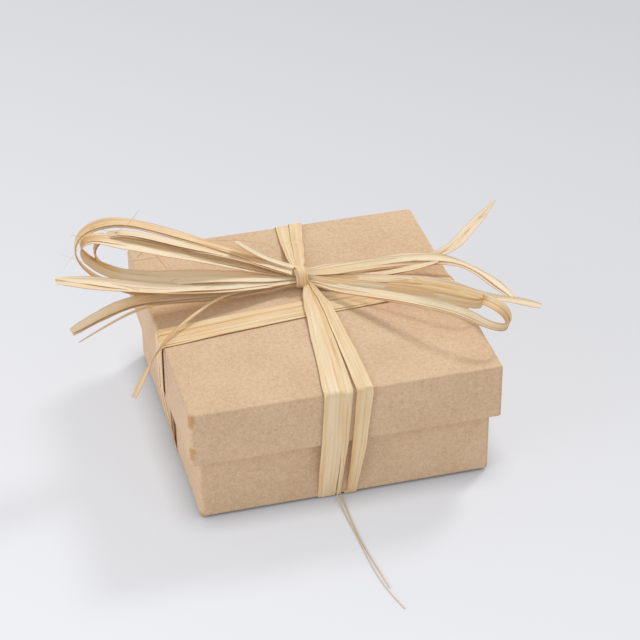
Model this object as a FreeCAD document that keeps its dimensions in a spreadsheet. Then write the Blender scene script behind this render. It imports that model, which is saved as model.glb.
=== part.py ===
"""Square kraft gift box: a wrapped tray, a lift-off lid, a fibre pad and a raffia tie with a bow.

Millimetres, +Z up. The origin is on the table under the middle of the box, the front faces -Y.
The raffia passes under the base, so the base stands two raffia thicknesses above the table.
"""
import FreeCAD, Part
import math
import os
import Sketcher
from FreeCAD import Rotation, Vector

doc = FreeCAD.newDocument("gift_box")
sizes = doc.addObject("Spreadsheet::Sheet", "Sizes")

SIZE_TABLE = [
    ("lid_side", 89.0, "outside of the square lid"),
    ("box_height", 36.6, "closed box, base bottom to lid top"),
    ("lid_skirt", 16.6, "height of the lid"),
    ("board_thick", 1.4, "chipboard"),
    ("paper_thick", 0.2, "kraft wrapping paper"),
    ("side_fit", 0.7, "gap between the base wall and the lining of the lid, each side"),
    ("seat_gap", 0.1, "lid board above the top of the base wall"),
    ("corner_radius", 1.2, "wrapped upright corner"),
    ("edge_radius", 0.8, "wrapped flat edge"),
    ("turn_in", 12.0, "paper folded over the rim and down inside"),
    ("stay_thick", 0.12, "corner stay tape"),
    ("stay_width", 10.0, "corner stay tape, each side of the corner"),
    ("corner_slit", 0.2, "joint between two folded walls"),
    ("raffia_thick", 0.3, "flat raffia strip"),
    ("raffia_gap", 0.15, "raffia strip above the paper"),
    ("layer_gap", 0.1, "between crossing strips, and above the strips under the base"),
    ("pad_thick", 12.0, "loose fibre pad"),
    ("pad_gap", 1.0, "pad to base wall"),
    ("pad_radius", 3.0, "rounded edge of the pad"),
    ("knot_x", 0.5, "middle of the knot"),
    ("knot_y", 10.5, "middle of the knot"),
    ("knot_gap", 0.3, "under the knot, above the lid"),
    ("knot_radius", 2.5, "bound strands in the knot"),
    ("knot_length", 4.4, "binding turn along X"),
    ("knot_round", 0.9, "rounded ends of the knot"),
    ("knot_bite", 0.06, "strip ends run this far into the underside of the knot"),
    ("strand_width", 1.0, "bunched strand of the bow"),
    ("thin_strand_width", 0.7, "split strand of the bow"),
    ("fibre_width", 0.4, "single fibre on the table"),
]

# Where each flat strip lies: its middle and width at the knot, the lid's edge and the leg's end.
FRONT_STRIPS = {
    "front_strip_left": {"knot": (-0.5, 1.6), "edge": (-4.1, 5.3), "foot": (-5.9, 5.2)},
    "front_strip_middle": {"knot": (0.75, 0.7), "edge": (0.2, 2.2), "foot": (-2.0, 2.0)},
    "front_strip_right": {"knot": (2.0, 1.6), "edge": (4.7, 5.4), "foot": (1.3, 3.8)},
}
BACK_STRIPS = {
    "back_strip_left": {"knot": (-0.1, 1.6), "edge": (3.6, 3.3), "foot": (3.9, 3.2)},
    "back_strip_right": {"knot": (1.8, 1.6), "edge": (7.9, 3.5), "foot": (7.6, 3.4)},
}
CROSS_STRIPS = {
    "cross_strip_wide": {
        "left_foot": (-8.4, 6.0), "left_edge": (-8.0, 7.0), "middle": (-3.2, 5.7),
        "right_edge": (-1.2, 5.2), "right_foot": (-2.0, 5.0)},
    "cross_strip_narrow": {
        "left_foot": (-4.0, 2.4), "left_edge": (-2.7, 3.2), "middle": (1.1, 2.5),
        "right_edge": (2.8, 2.4), "right_foot": (2.2, 2.2)},
}
UNDER_LONG_STRIPS = {
    "under_strip_left": {"front": (-5.9, 5.0), "back": (3.9, 3.0)},
    "under_strip_right": {"front": (1.3, 3.6), "back": (7.6, 3.2)},
}
UNDER_CROSS_STRIPS = {
    "under_cross_wide": {"left": (-8.4, 5.8), "right": (-2.0, 4.8)},
    "under_cross_narrow": {"left": (-4.0, 2.2), "right": (2.2, 2.0)},
}

# Routes of the free strands, as offsets from the middle of the knot.
BOW_ROUTES = {
    "left_loop_outer": ("strand_width", [
        (-1.4, 1.0, 1.2), (-8.3, 3.5, 3.6), (-18.2, 5.0, 9.2), (-28.0, 6.5, 13.4),
        (-39.7, 7.5, 18.5), (-50.0, 7.6, 23.2), (-58.0, 6.6, 23.8), (-63.4, 5.0, 21.2),
        (-64.6, 3.0, 16.6), (-61.4, 1.0, 11.8), (-54.6, -1.0, 7.2), (-44.6, -2.0, 3.7),
        (-29.6, -2.0, 1.9), (-14.4, -1.6, 0.6), (-1.4, -0.6, -0.4)]),
    "left_loop_middle": ("strand_width", [
        (-1.4, 0.8, 0.2), (-10.5, 3.0, 3.0), (-21.3, 4.5, 6.7), (-31.6, 5.5, 10.2),
        (-42.6, 6.0, 14.3), (-53.4, 5.5, 18.4), (-60.0, 4.4, 20.8), (-62.6, 3.2, 18.8),
        (-60.8, 2.0, 15.4), (-56.0, 1.2, 11.8), (-49.6, 0.6, 8.8), (-39.8, 0.2, 6.5),
        (-27.4, 0.1, 5.2), (-14.6, 0.1, 2.6), (-1.4, 0.0, 0.4)]),
    "left_loop_inner": ("thin_strand_width", [
        (-1.4, 0.4, 1.0), (-9.8, 3.3, 4.4), (-20.2, 4.6, 8.4), (-31.0, 5.6, 12.4),
        (-42.2, 6.2, 16.9), (-51.4, 5.8, 20.4), (-57.0, 4.6, 19.8), (-59.0, 3.0, 16.0),
        (-56.2, 1.2, 12.0), (-49.8, -0.6, 7.2), (-38.8, -1.2, 4.7), (-26.0, -1.1, 3.0),
        (-13.4, -0.6, 1.4), (-1.4, -0.4, 0.0)]),
    "left_tail_leaf": ("strand_width", [
        (-1.4, -0.4, -0.1), (-14.0, -2.5, 1.5), (-28.2, -3.5, 3.4), (-41.4, -4.1, 5.7),
        (-53.4, -4.0, 9.2), (-62.6, -4.1, 12.1), (-71.0, -4.6, 14.4)]),
    "left_tail_wide": ("strand_width", [
        (-1.4, -0.9, -1.0), (-14.6, -2.4, -0.6), (-28.4, -3.4, 0.9), (-40.4, -4.4, 2.7),
        (-49.6, -5.4, 4.2), (-59.4, -7.4, 2.6), (-68.6, -9.6, -0.4)]),
    "left_tail_thin": ("thin_strand_width", [
        (-1.4, -1.4, -0.8), (-14.4, -3.6, -0.9), (-28.2, -4.8, 0.2), (-38.8, -6.2, 2.2),
        (-47.2, -7.8, 3.4), (-57.4, -10.4, 1.8), (-67.4, -12.8, -2.0)]),
    "left_tail_short": ("thin_strand_width", [
        (10.2, 1.4, 0.2), (3.6, 1.8, 2.2), (-2.8, 2.6, 3.2), (-8.6, 3.9, 5.4),
        (-13.2, 4.8, 8.6), (-17.6, 5.5, 12.2)]),
    "left_tail_crossing": ("thin_strand_width", [
        (-1.4, -1.8, 0.0), (-12.6, -3.2, 0.8), (-24.4, -4.8, 1.2), (-34.8, -10.8, -0.4),
        (-43.0, -18.2, -0.9), (-48.2, -23.6, -3.2), (-52.0, -27.6, -7.0),
        (-55.7, -30.5, -11.0)]),
    "right_tail_top": ("strand_width", [
        (1.4, 0.8, 1.0), (11.8, 0.1, 1.2), (22.2, -0.2, 1.5), (32.6, -0.5, 1.7),
        (40.9, -2.0, 1.4), (46.4, -4.8, 0.8), (50.4, -8.4, -0.2), (54.2, -13.0, -1.8),
        (57.1, -17.8, -3.3), (59.5, -22.2, -5.0)]),
    "right_tail_middle": ("thin_strand_width", [
        (1.4, 0.0, 0.2), (10.4, -2.6, -0.4), (19.0, -5.8, 0.0), (27.6, -8.4, 0.5),
        (35.6, -12.0, 0.8), (41.8, -16.4, 0.4), (46.6, -20.6, -0.6), (52.8, -23.0, -1.8),
        (59.4, -25.2, -2.8), (64.5, -27.9, -3.8)]),
    "right_loop_wide": ("strand_width", [
        (1.4, -0.7, -0.6), (6.4, -5.2, -0.6), (11.6, -10.6, 0.2), (18.6, -17.4, 1.8),
        (26.0, -25.4, 3.7), (32.8, -34.0, 5.4), (38.6, -40.4, 5.7), (43.4, -46.2, 4.9),
        (47.8, -46.8, 4.2), (50.0, -41.6, 3.8), (49.7, -35.2, 3.2), (47.2, -28.4, 2.2),
        (42.4, -21.4, 1.2), (34.8, -14.6, 0.6), (25.2, -9.0, 0.0), (15.0, -4.8, -0.6),
        (7.6, -2.2, -0.9), (1.4, -0.2, -0.9)]),
    "right_loop_inner": ("thin_strand_width", [
        (1.4, -0.4, 0.4), (10.4, -6.6, 0.2), (20.8, -13.8, 1.2), (31.0, -21.8, 2.4),
        (38.6, -28.0, 2.8), (44.2, -31.4, 2.4), (46.9, -28.6, 1.6), (45.6, -23.4, 0.9),
        (39.6, -17.2, 0.4), (29.8, -11.6, -0.2), (18.8, -6.8, -0.6), (9.2, -2.8, -0.6),
        (1.4, 0.2, -0.4)]),
    "right_tail_back": ("thin_strand_width", [
        (1.4, 1.2, 0.2), (11.6, 1.9, -0.9), (22.4, 2.6, -1.0), (33.4, 2.3, -0.9),
        (42.4, 2.2, -0.6), (49.2, 5.0, -0.2), (55.3, 10.7, 1.2), (61.6, 16.1, 2.8),
        (66.6, 20.5, 4.2)]),
    "right_strand_split": ("thin_strand_width", [
        (1.4, 0.5, -0.2), (9.8, -1.2, -0.2), (18.0, -3.3, -0.3), (25.8, -4.6, 0.0),
        (33.8, -4.7, 0.6), (41.0, -4.1, 1.1)]),
}

# Single fibres that escaped from the strips, lying on the table from the front of the base.
FIBRE_HEIGHT = 0.25
FIBRE_ROUTES = {
    "floor_fibre_long": [(-2.8, -9.0), (-2.2, -18.0), (-1.8, -28.5), (-0.6, -40.0), (1.8, -48.0)],
    "floor_fibre_short": [(-1.9, -9.5), (-1.7, -20.0), (-0.4, -30.5), (0.4, -39.0)],
}
FIBRE_STARTS = {"floor_fibre_long": -3.0, "floor_fibre_short": -1.6}

ARC_SHARE = 0.45            # part of the shorter run that a bend takes up


def fill_sheet():
    """Writes every driving size into the sheet, one row each."""
    rows = list(SIZE_TABLE)
    for table in (FRONT_STRIPS, BACK_STRIPS, CROSS_STRIPS, UNDER_LONG_STRIPS, UNDER_CROSS_STRIPS):
        for strip, places in table.items():
            for place, (middle, width) in places.items():
                rows.append((f"{strip}_{place}_middle", middle, "offset of the strip's middle"))
                rows.append((f"{strip}_{place}_width", width, "width of the strip"))
    for number, (alias, value, meaning) in enumerate(rows, start=1):
        sizes.set(f"A{number}", alias)
        sizes.set(f"B{number}", str(value))
        sizes.set(f"C{number}", meaning)
        sizes.setAlias(f"B{number}", alias)
    doc.recompute()


# Formulas that several pieces share.
WALL = "(Sizes.board_thick + 2 * Sizes.paper_thick)"
BASE_SIDE = f"(Sizes.lid_side - 2 * {WALL} - 2 * Sizes.side_fit)"
BASE_BOTTOM = "(2 * Sizes.raffia_thick)"
LID_TOP = f"({BASE_BOTTOM} + Sizes.box_height)"
LID_RIM = f"({LID_TOP} - Sizes.lid_skirt)"
BASE_TOP = f"({LID_TOP} - Sizes.paper_thick - Sizes.board_thick - Sizes.seat_gap)"
BASE_FLOOR = f"({BASE_BOTTOM} + Sizes.paper_thick + Sizes.board_thick)"
STRIP_INNER = "(Sizes.lid_side / 2 + Sizes.raffia_gap)"
STRIP_OUTER = f"({STRIP_INNER} + Sizes.raffia_thick)"
CROSS_LOW = f"({LID_TOP} + Sizes.raffia_gap)"
CROSS_HIGH = f"({CROSS_LOW} + Sizes.raffia_thick)"
FRONT_LOW = f"({CROSS_HIGH} + Sizes.layer_gap)"
FRONT_HIGH = f"({FRONT_LOW} + Sizes.raffia_thick)"
LONG_FOOT = "(Sizes.raffia_thick + Sizes.layer_gap)"
CROSS_FOOT = f"({BASE_BOTTOM} + Sizes.layer_gap)"


def bind(item, formulas):
    """Ties the properties of an object to formulas of the size sheet."""
    for field, formula in formulas.items():
        item.setExpression(field, formula)


def labelled(item, label):
    item.Label = label
    return item


def centred_block(name, side, bottom, top):
    """A square block about the Z axis."""
    block = doc.addObject("Part::Box", name)
    bind(block, {
        "Length": side, "Width": side, "Height": f"{top} - {bottom}",
        "Placement.Base.x": f"-{side} / 2", "Placement.Base.y": f"-{side} / 2",
        "Placement.Base.z": bottom})
    return block


def cut(name, base, tool):
    result = doc.addObject("Part::Cut", name)
    result.Base = base
    result.Tool = tool
    return result


def common(name, base, tool):
    result = doc.addObject("Part::Common", name)
    result.Base = base
    result.Tool = tool
    return result


def fuse(name, pieces):
    result = doc.addObject("Part::MultiFuse", name)
    result.Shapes = pieces
    result.Refine = True
    return result


def origin_plane(body, role):
    return next(item for item in body.Origin.OriginFeatures if item.Role == role)


def rounded_block(name, side, bottom, top, corner_radius, edge_radius, round_top):
    """A square block about Z with rounded upright corners and one rounded flat end."""
    body = doc.addObject("PartDesign::Body", name)
    outline = body.newObject("Sketcher::SketchObject", f"{name}_outline")
    outline.AttachmentSupport = (origin_plane(body, "XY_Plane"), [""])
    outline.MapMode = "FlatFace"
    outline.setExpression("AttachmentOffset.Base.z", bottom)
    draw_square(outline, side)
    pad = body.newObject("PartDesign::Pad", f"{name}_pad")
    pad.Profile = outline
    pad.setExpression("Length", f"{top} - {bottom}")
    doc.recompute()
    uprights = edges_where(pad, lambda edge: abs(edge.tangentAt(edge.FirstParameter).z) > 0.99)
    corners = body.newObject("PartDesign::Fillet", f"{name}_corners")
    corners.Base = (pad, uprights)
    corners.setExpression("Radius", corner_radius)
    doc.recompute()
    box = corners.Shape.BoundBox
    level = box.ZMax if round_top else box.ZMin
    flat_edges = edges_where(corners, lambda edge: lies_at(edge, level))
    edges = body.newObject("PartDesign::Fillet", f"{name}_edges")
    edges.Base = (corners, flat_edges)
    edges.setExpression("Radius", edge_radius)
    doc.recompute()
    return body


def draw_square(outline, side):
    """Draws a square about the sketch origin, its side bound to a formula."""
    half = 10.0
    points = [Vector(-half, -half, 0), Vector(half, -half, 0), Vector(half, half, 0), Vector(-half, half, 0)]
    for start, end in zip(points, points[1:] + points[:1]):
        outline.addGeometry(Part.LineSegment(start, end))
    for line in range(4):
        outline.addConstraint(Sketcher.Constraint("Coincident", line, 2, (line + 1) % 4, 1))
    for line, direction in enumerate(("Horizontal", "Vertical", "Horizontal", "Vertical")):
        outline.addConstraint(Sketcher.Constraint(direction, line))
    outline.addConstraint(Sketcher.Constraint("Symmetric", 0, 1, 1, 2, -1, 1))
    for line, label in ((0, "length"), (1, "depth")):
        place = outline.addConstraint(Sketcher.Constraint("Distance", line, 2 * half))
        outline.renameConstraint(place, label)
        outline.setExpression(f"Constraints.{label}", side)


def edges_where(feature, wanted):
    """Names of the feature's edges that pass a test."""
    return [f"Edge{number}" for number, edge in enumerate(feature.Shape.Edges, start=1) if wanted(edge)]


def lies_at(edge, level):
    box = edge.BoundBox
    return abs(box.ZMin - level) < 1e-6 and abs(box.ZMax - level) < 1e-6


def build_wrapped_shell(name, side, closed_end, rim, opens_down):
    """Board tray, corner stays and paper skin of one half of the box.

    closed_end is the outside of the panel, rim the edge of the open side.
    """
    sign = "-" if opens_down else "+"
    back = "+" if opens_down else "-"
    paper_side = f"({side} - 2 * Sizes.paper_thick)"
    stay_side = f"({paper_side} - 2 * Sizes.stay_thick)"
    cavity_side = f"({paper_side} - 2 * Sizes.board_thick)"
    mouth_side = f"({cavity_side} - 2 * Sizes.paper_thick)"
    board_end = f"({closed_end} {sign} Sizes.paper_thick)"
    board_rim = f"({rim} {back} Sizes.paper_thick)"
    panel_inside = f"({board_end} {sign} Sizes.board_thick)"
    lining_end = f"({rim} {back} Sizes.turn_in)"

    def span(lower_when_up, upper_when_up):
        return (upper_when_up, lower_when_up) if opens_down else (lower_when_up, upper_when_up)

    def block(label, block_side, ends, corner="Sizes.corner_radius", edge="Sizes.edge_radius"):
        return rounded_block(f"{name}_{label}", block_side, *ends, corner, edge, opens_down)

    inner_corner = "(Sizes.corner_radius - Sizes.paper_thick)"
    inner_edge = "(Sizes.edge_radius - Sizes.paper_thick)"
    outside = block("outside", side, span(closed_end, rim))
    board_block = block("board_block", paper_side, span(board_end, board_rim), inner_corner, inner_edge)
    stay_core = block("stay_core", stay_side, span(board_end, board_rim), inner_corner, inner_edge)
    cavity = centred_block(f"{name}_cavity", cavity_side, *span(panel_inside, f"({rim} {back} 0)"))
    lining = centred_block(f"{name}_lining", cavity_side, *span(lining_end, rim))
    mouth = centred_block(f"{name}_mouth", mouth_side, *span(lining_end, rim))

    posts = fuse(f"{name}_stay_posts", corner_posts(name, paper_side, span(panel_inside, board_rim)))
    stay_ring = cut(f"{name}_stay_ring", board_block, stay_core)
    stays = labelled(common(f"{name}_stays", stay_ring, posts), f"{name}_corner_stays")

    removed = fuse(f"{name}_removed", [cavity] + slits(name, side, span(panel_inside, board_rim)))
    hollow_board = cut(f"{name}_hollow", board_block, removed)
    board = labelled(cut(f"{name}_tray", hollow_board, stays), f"{name}_board")

    skin = cut(f"{name}_skin", outside, board_block)
    lined = fuse(f"{name}_lined", [skin, lining])
    wrap = labelled(cut(f"{name}_paper", lined, mouth), f"{name}_wrap")
    return [board, stays, wrap]


def corner_posts(name, side, ends):
    """Four upright posts that mark how far the stay tape reaches from each corner."""
    bottom, top = ends
    posts = []
    for number, (along_x, along_y) in enumerate(((-1, -1), (1, -1), (1, 1), (-1, 1)), start=1):
        post = doc.addObject("Part::Box", f"{name}_post_{number}")
        place = {-1: f"-{side} / 2", 1: f"{side} / 2 - Sizes.stay_width"}
        bind(post, {
            "Length": "Sizes.stay_width", "Width": "Sizes.stay_width", "Height": f"{top} - {bottom}",
            "Placement.Base.x": place[along_x], "Placement.Base.y": place[along_y],
            "Placement.Base.z": bottom})
        posts.append(post)
    return posts


def slits(name, side, ends):
    """Two thin diagonal blades that part the four walls at their corners."""
    bottom, top = ends
    blades = []
    for number, angle in enumerate((45, -45), start=1):
        blade = doc.addObject("Part::Box", f"{name}_slit_{number}")
        bind(blade, {"Length": f"2 * {side}", "Width": "Sizes.corner_slit", "Height": f"{top} - {bottom}"})
        turn = doc.addObject("Part::Compound", f"{name}_blade_{number}")
        turn.Links = [blade]
        bind(blade, {"Placement.Base.x": f"-{side}", "Placement.Base.y": "-Sizes.corner_slit / 2",
                     "Placement.Base.z": bottom})
        turn.Placement.Rotation = Rotation(Vector(0, 0, 1), angle)
        blades.append(turn)
    return blades


def build_pad():
    side = f"({BASE_SIDE} - 2 * {WALL} - 2 * Sizes.pad_gap)"
    top = f"({BASE_FLOOR} + Sizes.pad_thick)"
    pad = rounded_block("pad_block", side, BASE_FLOOR, top, "Sizes.pad_radius", "Sizes.pad_radius", True)
    return labelled(pad, "fibre_pad")


def wedge(name, direction, span, places, layer):
    """A flat strip of straight taper.

    direction is the axis the strip runs along, span its two ends on that axis, places the
    aliases of its middle and width at those ends, and layer its two faces.
    """
    turns = {
        "y": Rotation(),
        "x": Rotation(Vector(0, 0, 1), -90),
        "z beside x": Rotation(Vector(1, 0, 0), 90),
        "z beside y": Rotation(Vector(1, 1, 1), 120)}
    strip = doc.addObject("Part::Wedge", name)
    strip.Placement.Rotation = turns[direction]
    mirrored = "-1 * " if direction == "x" else ""
    first, last = places
    bind(strip, {
        "Ymin": span[0], "Ymax": span[1], "Zmin": layer[0], "Zmax": layer[1],
        "Z2min": layer[0], "Z2max": layer[1],
        "Xmin": f"{mirrored}Sizes.{first}_middle - Sizes.{first}_width / 2",
        "Xmax": f"{mirrored}Sizes.{first}_middle + Sizes.{first}_width / 2",
        "X2min": f"{mirrored}Sizes.{last}_middle - Sizes.{last}_width / 2",
        "X2max": f"{mirrored}Sizes.{last}_middle + Sizes.{last}_width / 2"})
    return strip


def build_long_strips():
    """Strips from the knot over the front or back edge and down to the foot of the base."""
    drop = f"({LID_TOP} + Sizes.knot_gap + Sizes.knot_radius - {FRONT_HIGH})"
    reach = f"(sqrt(Sizes.knot_radius ^ 2 - {drop} ^ 2) - Sizes.knot_bite)"
    near_knot = f"(Sizes.knot_y - {reach})"
    far_knot = f"(Sizes.knot_y + {reach})"
    strips = []
    for name in FRONT_STRIPS:
        over = wedge(f"{name}_top", "y", (f"-{STRIP_OUTER}", near_knot),
                     (f"{name}_edge", f"{name}_knot"), (FRONT_LOW, FRONT_HIGH))
        leg = wedge(f"{name}_leg", "z beside x", (LONG_FOOT, FRONT_HIGH),
                    (f"{name}_foot", f"{name}_edge"), (STRIP_INNER, STRIP_OUTER))
        strips.append(labelled(fuse(f"{name}_band", [over, leg]), name))
    for name in BACK_STRIPS:
        over = wedge(f"{name}_top", "y", (far_knot, STRIP_OUTER),
                     (f"{name}_knot", f"{name}_edge"), (FRONT_LOW, FRONT_HIGH))
        leg = wedge(f"{name}_leg", "z beside x", (LONG_FOOT, FRONT_HIGH),
                    (f"{name}_foot", f"{name}_edge"), (f"-{STRIP_OUTER}", f"-{STRIP_INNER}"))
        strips.append(labelled(fuse(f"{name}_band", [over, leg]), name))
    return strips


def build_cross_strips():
    """Strips from one side to the other, under the front strips, with a leg at each end."""
    strips = []
    for name in CROSS_STRIPS:
        layer = (CROSS_LOW, CROSS_HIGH)
        left = wedge(f"{name}_left", "x", (f"-{STRIP_OUTER}", "0"),
                     (f"{name}_left_edge", f"{name}_middle"), layer)
        right = wedge(f"{name}_right", "x", ("0", STRIP_OUTER),
                      (f"{name}_middle", f"{name}_right_edge"), layer)
        left_leg = wedge(f"{name}_left_leg", "z beside y", (CROSS_FOOT, CROSS_HIGH),
                         (f"{name}_left_foot", f"{name}_left_edge"), (f"-{STRIP_OUTER}", f"-{STRIP_INNER}"))
        right_leg = wedge(f"{name}_right_leg", "z beside y", (CROSS_FOOT, CROSS_HIGH),
                          (f"{name}_right_foot", f"{name}_right_edge"), (STRIP_INNER, STRIP_OUTER))
        strips.append(labelled(fuse(f"{name}_band", [left, right, left_leg, right_leg]), name))
    return strips


def build_under_strips():
    """Strips that pass under the base: the long ones on the table, the cross ones above them."""
    strips = []
    for name in UNDER_LONG_STRIPS:
        strip = wedge(f"{name}_run", "y", (f"-{STRIP_OUTER}", STRIP_OUTER),
                      (f"{name}_front", f"{name}_back"), ("0", "Sizes.raffia_thick"))
        strips.append(labelled(strip, name))
    for name in UNDER_CROSS_STRIPS:
        strip = wedge(f"{name}_run", "x", (f"-{STRIP_OUTER}", STRIP_OUTER),
                      (f"{name}_left", f"{name}_right"), ("Sizes.raffia_thick", BASE_BOTTOM))
        strips.append(labelled(strip, name))
    return strips


def build_knot():
    """The turn of raffia that binds the bow, a short round bundle along X."""
    body = doc.addObject("PartDesign::Body", "knot_body")
    outline = body.newObject("Sketcher::SketchObject", "knot_outline")
    outline.AttachmentSupport = (origin_plane(body, "YZ_Plane"), [""])
    outline.MapMode = "FlatFace"
    outline.setExpression("AttachmentOffset.Base.z", "Sizes.knot_x")
    outline.addGeometry(Part.Circle(Vector(1, 1, 0), Vector(0, 0, 1), 1))
    for label, constraint in (
            ("radius", Sketcher.Constraint("Radius", 0, 1.0)),
            ("along", Sketcher.Constraint("DistanceX", -1, 1, 0, 3, 1.0)),
            ("height", Sketcher.Constraint("DistanceY", -1, 1, 0, 3, 1.0))):
        outline.renameConstraint(outline.addConstraint(constraint), label)
    bind(outline, {
        "Constraints.radius": "Sizes.knot_radius", "Constraints.along": "Sizes.knot_y",
        "Constraints.height": f"{LID_TOP} + Sizes.knot_gap + Sizes.knot_radius"})
    pad = body.newObject("PartDesign::Pad", "knot_pad")
    pad.Profile = outline
    pad.SideType = "Symmetric"
    pad.setExpression("Length", "Sizes.knot_length")
    doc.recompute()
    rims = edges_where(pad, lambda edge: isinstance(edge.Curve, Part.Circle))
    rounded = body.newObject("PartDesign::Fillet", "knot_rims")
    rounded.Base = (pad, rims)
    rounded.setExpression("Radius", "Sizes.knot_round")
    return labelled(body, "raffia_knot")


def route_path(name, points, thick):
    """Straight runs joined by tangent arcs, each arc as large as its two runs allow."""
    radii = []
    edges = []
    last_end = points[0]
    for before, here, after in zip(points, points[1:], points[2:]):
        arriving = here - before
        leaving = after - here
        half_turn = arriving.getAngle(leaving) / 2
        reach = ARC_SHARE * min(arriving.Length, leaving.Length)
        radii.append(reach / math.tan(half_turn))
        arriving.normalize()
        leaving.normalize()
        start = here - arriving * reach
        end = here + leaving * reach
        to_centre = (leaving - arriving).normalize()
        centre_reach = math.hypot(reach, radii[-1])
        middle = here + to_centre * (centre_reach - radii[-1])
        edges.append(Part.LineSegment(last_end, start).toShape())
        edges.append(Part.Arc(start, middle, end).toShape())
        last_end = end
    edges.append(Part.LineSegment(last_end, points[-1]).toShape())
    runs = [(b - a).Length for a, b in zip(points, points[1:])]
    print(f"{name}: {sum(edge.Length for edge in edges):.1f} long, runs {min(runs):.1f} to {max(runs):.1f}, "
          f"radii from {min(radii):.1f}, which is {min(radii) / thick:.1f} diameters")
    return Part.Wire(edges)


def build_tube(name, points, thick):
    """A round tube along a route, checked against its section times its length."""
    path = route_path(name, points, thick)
    start_direction = points[1] - points[0]
    section = Part.Wire([Part.Circle(points[0], start_direction, thick / 2).toShape()])
    tube = path.makePipeShell([section], True, False)
    expected = math.pi * thick ** 2 / 4 * path.Length
    if abs(tube.Volume / expected - 1) > 0.01:
        raise RuntimeError(f"{name}: volume {tube.Volume:.2f}, expected {expected:.2f}")
    strand = doc.addObject("Part::Feature", name)
    strand.Shape = tube
    return labelled(strand, name)


def build_strands():
    """The free strands of the bow, and the fibres on the table."""
    lid_top = 2 * sizes.raffia_thick + sizes.box_height
    knot_height = lid_top + sizes.knot_gap + sizes.knot_radius
    knot = Vector(sizes.knot_x, sizes.knot_y, knot_height)
    strip_outer = sizes.lid_side / 2 + sizes.raffia_gap + sizes.raffia_thick
    strands = []
    for name, (width_alias, offsets) in BOW_ROUTES.items():
        points = [knot + Vector(*offset) for offset in offsets]
        strands.append(build_tube(name, points, sizes.get(width_alias)))
    for name, offsets in FIBRE_ROUTES.items():
        points = [Vector(FIBRE_STARTS[name], -strip_outer, FIBRE_HEIGHT)]
        points += [Vector(x, -strip_outer + y, FIBRE_HEIGHT) for x, y in offsets]
        strands.append(build_tube(name, points, sizes.fibre_width))
    return strands


def check_and_write(nodes):
    """Stops on any failed object or bad shape, then writes one file for each sub-part."""
    doc.recompute()
    for item in doc.Objects:
        if "Invalid" in item.State or "Error" in item.State:
            raise RuntimeError(f"{item.Label} failed: {item.State}")
    os.makedirs("parts", exist_ok=True)
    for node in nodes:
        if node.Shape.isNull() or not node.Shape.isValid() or not node.Shape.Solids:
            raise RuntimeError(f"{node.Label} has a bad shape")
        print(f"{node.Label}: {len(node.Shape.Solids)} solid(s), {node.Shape.Volume:.1f} mm3")
        node.Shape.exportStep(f"parts/{node.Label}.step")


fill_sheet()
nodes = build_wrapped_shell("base", BASE_SIDE, BASE_BOTTOM, BASE_TOP, opens_down=False)
nodes += build_wrapped_shell("lid", "Sizes.lid_side", LID_TOP, LID_RIM, opens_down=True)
nodes.append(build_pad())
nodes.append(build_knot())
nodes += build_long_strips()
nodes += build_cross_strips()
nodes += build_under_strips()
nodes += build_strands()
check_and_write(nodes)
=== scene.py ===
import bpy
import bmesh
import math
import random
from mathutils import Matrix, Vector, noise


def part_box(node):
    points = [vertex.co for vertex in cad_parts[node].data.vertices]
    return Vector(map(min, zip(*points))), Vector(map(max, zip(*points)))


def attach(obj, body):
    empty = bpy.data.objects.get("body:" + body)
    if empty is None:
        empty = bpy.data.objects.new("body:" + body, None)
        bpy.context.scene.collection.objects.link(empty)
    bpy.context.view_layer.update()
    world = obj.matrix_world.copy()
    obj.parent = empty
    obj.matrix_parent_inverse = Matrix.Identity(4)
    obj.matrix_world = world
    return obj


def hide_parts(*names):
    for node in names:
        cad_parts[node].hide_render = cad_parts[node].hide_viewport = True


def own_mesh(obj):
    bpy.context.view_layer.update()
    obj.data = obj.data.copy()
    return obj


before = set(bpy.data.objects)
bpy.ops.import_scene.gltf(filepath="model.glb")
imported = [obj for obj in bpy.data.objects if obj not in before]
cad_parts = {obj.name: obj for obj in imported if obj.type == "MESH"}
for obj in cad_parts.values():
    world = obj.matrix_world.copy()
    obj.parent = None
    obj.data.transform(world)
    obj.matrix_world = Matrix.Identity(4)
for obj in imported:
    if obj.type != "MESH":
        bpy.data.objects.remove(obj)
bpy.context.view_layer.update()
mm = 0.001
scene = bpy.context.scene
knotLow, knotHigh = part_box("raffia_knot")
knotMiddle = (knotLow + knotHigh) / 2
lidLow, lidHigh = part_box("lid_wrap")
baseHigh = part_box("base_wrap")[1]
print("frame loaded")


def between(keys, t):
    # value of a list of (place, value) keys, eased from one key to the next
    if t <= keys[0][0]:
        return keys[0][1]
    for (t0, v0), (t1, v1) in zip(keys, keys[1:]):
        if t <= t1:
            share = (t - t0) / max(t1 - t0, 1e-9)
            share = share * share * (3 - 2 * share)
            if isinstance(v0, (int, float)):
                return v0 + (v1 - v0) * share
            return Vector(v0).lerp(Vector(v1), share)
    return keys[-1][1]


def wander(seed, reached, wave):
    # smooth noise from -1 to 1 along a strand, with waves of that length in mm
    return noise.noise(Vector((seed * 7.31, reached / (wave * mm), seed * 1.7))) * 1.6


def addObject(name, data):
    piece = bpy.data.objects.new(name, data)
    scene.collection.objects.link(piece)
    return piece


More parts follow.
